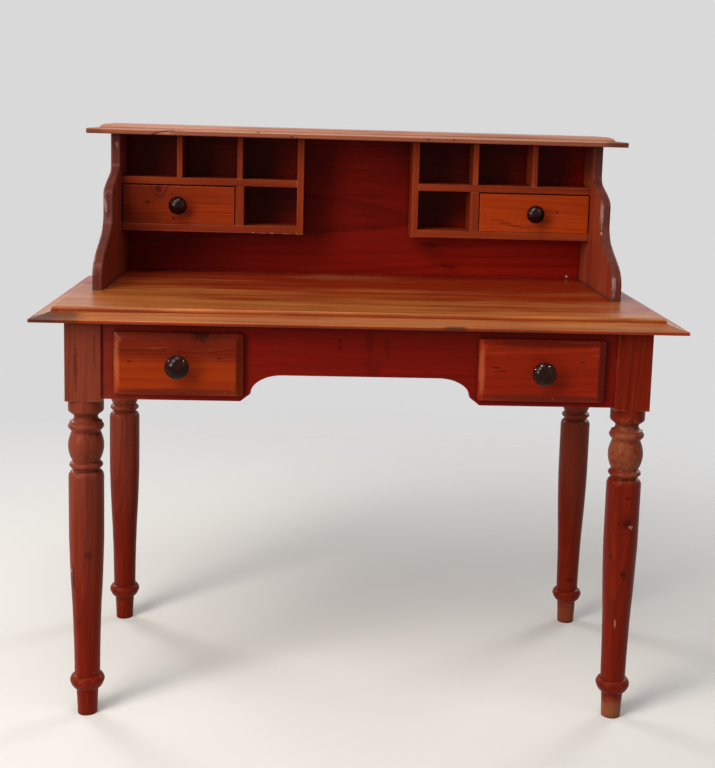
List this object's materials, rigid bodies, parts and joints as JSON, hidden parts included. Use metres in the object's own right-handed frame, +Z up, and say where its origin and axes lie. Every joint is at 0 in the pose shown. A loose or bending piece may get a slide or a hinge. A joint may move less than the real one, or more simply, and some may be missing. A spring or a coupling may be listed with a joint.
{
  "type": "writing desk",
  "caption": "Pine writing desk on turned legs, with lipped drawers beside an arched kneehole and a hutch of pigeonholes and small drawers over a moulded top.",
  "frame": {"origin": "on the floor, at the middle of the desk's overall box with its drawers shut", "axes": "+X to the right as a sitter faces the desk, +Y from the sitter towards the hutch's back, +Z up"},
  "size_m": [1.17, 0.622, 1.086],
  "materials": {
    "tabletop_pine": "satin varnish over a golden red stain",
    "leg_pine": "satin varnish over a mahogany stain",
    "apron_pine": "satin varnish over a mahogany stain",
    "hutch_pine": "satin varnish over a mahogany stain",
    "back_panel_wood": "satin varnish over a mahogany stain",
    "drawer_face_pine": "satin varnish over an orange red stain",
    "knob_wood": "dark brown gloss",
    "bare_pine": "bare, planed",
    "screw_steel": "bright zinc"
  },
  "bodies": {
    "desk": {"leg_front_left": "leg_pine", "leg_front_right": "leg_pine", "leg_back_left": "leg_pine", "leg_back_right": "leg_pine", "front_apron": "apron_pine", "back_apron": "apron_pine", "left_apron": "apron_pine", "right_apron": "apron_pine", "top_board_1": "tabletop_pine", "top_board_2": "tabletop_pine", "top_board_3": "tabletop_pine", "top_board_4": "tabletop_pine", "left_runner_inner": "bare_pine", "left_runner_outer": "bare_pine", "right_runner_inner": "bare_pine", "right_runner_outer": "bare_pine", "drawer_kickers": "bare_pine", "top_fixing_blocks": "bare_pine", "top_screws": "screw_steel", "hutch_dowels": "bare_pine", "hutch_side_left": "hutch_pine", "hutch_side_right": "hutch_pine", "hutch_back": "back_panel_wood", "hutch_top": "hutch_pine", "left_unit_floor": "hutch_pine", "left_unit_shelf": "hutch_pine", "left_unit_upright": "hutch_pine", "left_unit_lower_divider": "hutch_pine", "left_unit_inner_divider": "hutch_pine", "left_unit_outer_divider": "hutch_pine", "right_unit_floor": "hutch_pine", "right_unit_shelf": "hutch_pine", "right_unit_upright": "hutch_pine", "right_unit_lower_divider": "hutch_pine", "right_unit_inner_divider": "hutch_pine", "right_unit_outer_divider": "hutch_pine"},
    "left_drawer": {"left_drawer_front": "drawer_face_pine", "left_drawer_left_side": "bare_pine", "left_drawer_right_side": "bare_pine", "left_drawer_back": "bare_pine", "left_drawer_bottom": "bare_pine", "left_drawer_knob": "knob_wood"},
    "right_drawer": {"right_drawer_front": "drawer_face_pine", "right_drawer_left_side": "bare_pine", "right_drawer_right_side": "bare_pine", "right_drawer_back": "bare_pine", "right_drawer_bottom": "bare_pine", "right_drawer_knob": "knob_wood"},
    "left_small_drawer": {"left_small_drawer_front": "drawer_face_pine", "left_small_drawer_left_side": "bare_pine", "left_small_drawer_right_side": "bare_pine", "left_small_drawer_back": "bare_pine", "left_small_drawer_bottom": "bare_pine", "left_small_drawer_knob": "knob_wood"},
    "right_small_drawer": {"right_small_drawer_front": "drawer_face_pine", "right_small_drawer_left_side": "bare_pine", "right_small_drawer_right_side": "bare_pine", "right_small_drawer_back": "bare_pine", "right_small_drawer_bottom": "bare_pine", "right_small_drawer_knob": "knob_wood"}
  },
  "joints": [
    {"name": "left_drawer_slide", "type": "slide", "parent": "desk", "child": "left_drawer", "axis": [0, -1, 0], "range_m": [0, 0.3]},
    {"name": "right_drawer_slide", "type": "slide", "parent": "desk", "child": "right_drawer", "axis": [0, -1, 0], "range_m": [0, 0.3]},
    {"name": "left_small_drawer_slide", "type": "slide", "parent": "desk", "child": "left_small_drawer", "axis": [0, -1, 0], "range_m": [0, 0.05]},
    {"name": "right_small_drawer_slide", "type": "slide", "parent": "desk", "child": "right_small_drawer", "axis": [0, -1, 0], "range_m": [0, 0.05]}
  ]
}
